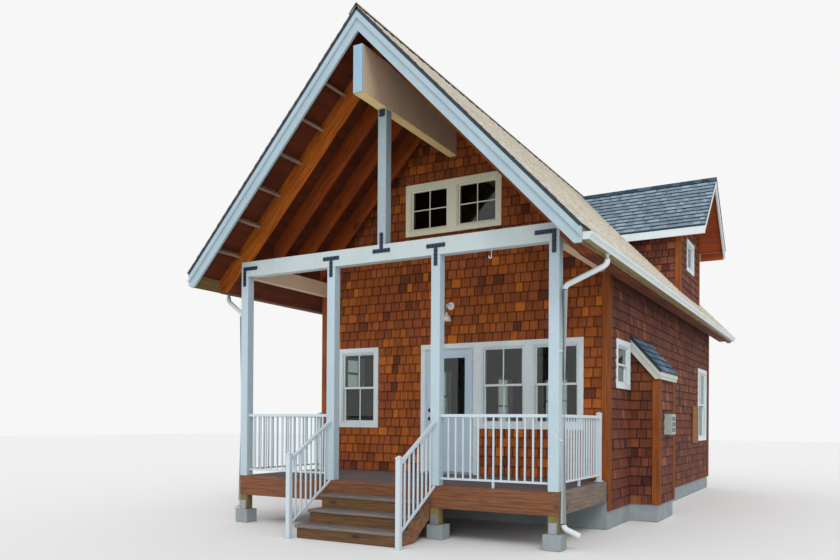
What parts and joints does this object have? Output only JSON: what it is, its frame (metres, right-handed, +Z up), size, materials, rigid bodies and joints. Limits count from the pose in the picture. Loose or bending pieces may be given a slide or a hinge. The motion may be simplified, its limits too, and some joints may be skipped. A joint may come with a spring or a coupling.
{
  "type": "shingled cabin with porch",
  "caption": "Small shingled cabin with a steep gable roof, a raised and covered front porch with railings and stairs, a side dormer and a hinged front door.",
  "frame": {"origin": "on the ground, under the middle of the front foundation wall", "axes": "+Z up, +Y from the porch towards the back of the cabin, +X to the right seen from the front"},
  "size_m": [6.07, 11.945, 6.7544],
  "materials": {
    "concrete": "cast concrete, light grey",
    "inner_boards": "plain boards",
    "deck_timber": "brown stained and weathered boards",
    "white_trim": "white paint on boards",
    "black_steel": "black painted steel with bolts",
    "galvanised_steel": "galvanised",
    "rafter_timber": "red-brown stained timber",
    "roof_shingle": "asphalt shingles with beige mineral granules",
    "roof_shingle_grey": "asphalt shingles with blue-grey mineral granules",
    "gutter_metal": "white enamel",
    "wall_shingle": "red-brown stained cedar shingles",
    "corner_cedar": "orange-brown stained boards",
    "meter_grey": "grey enamel",
    "hinge_steel": "satin",
    "door_paint": "white paint",
    "pane_glass": "clear",
    "lock_black": "dark bronze",
    "cream_trim": "cream paint",
    "railing_metal": "white powder coat",
    "lamp_metal": "white enamel"
  },
  "bodies": {
    "house": {"foundation": "concrete", "floor": "inner_boards", "loft_floor": "inner_boards", "ceiling": "inner_boards", "deck_frame": "deck_timber", "deck": "deck_timber", "stair_frame": "deck_timber", "stair_treads": "deck_timber", "porch_posts": "white_trim", "porch_beams": "white_trim", "king_post": "white_trim", "ridge_beam": "white_trim", "barge_boards": "white_trim", "dormer_trim": "white_trim", "closet_trim": "white_trim", "door_frame": "white_trim", "window_frames": "white_trim", "steel_straps": "black_steel", "pier_brackets": "galvanised_steel", "rafters_left": "rafter_timber", "rafters_right": "rafter_timber", "roof_left": "roof_shingle", "roof_right": "roof_shingle", "dormer_roof": "roof_shingle_grey", "closet_roof": "roof_shingle_grey", "gutters": "gutter_metal", "downspouts": "gutter_metal", "front_wall_left": "wall_shingle", "front_wall_right": "wall_shingle", "front_wall_over_door": "wall_shingle", "front_gable": "wall_shingle", "back_wall": "wall_shingle", "left_wall": "wall_shingle", "right_wall": "wall_shingle", "dormer_walls": "wall_shingle", "closet_walls": "wall_shingle", "corner_boards": "corner_cedar", "eave_boards": "corner_cedar", "meter_box": "meter_grey", "door_hinges": "hinge_steel", "window_glass": "pane_glass", "gable_window_frames": "cream_trim", "deck_railings": "railing_metal", "stair_railings": "railing_metal", "porch_lamp": "lamp_metal"},
    "door": {"door_leaf": "door_paint", "door_glass": "pane_glass", "door_hardware": "lock_black"}
  },
  "joints": [
    {"name": "door_hinge", "type": "hinge", "parent": "house", "child": "door", "pos_m": [0.37, -0.112, 1.6825], "axis": [0, 0, 1], "range_deg": [0, 100]}
  ]
}
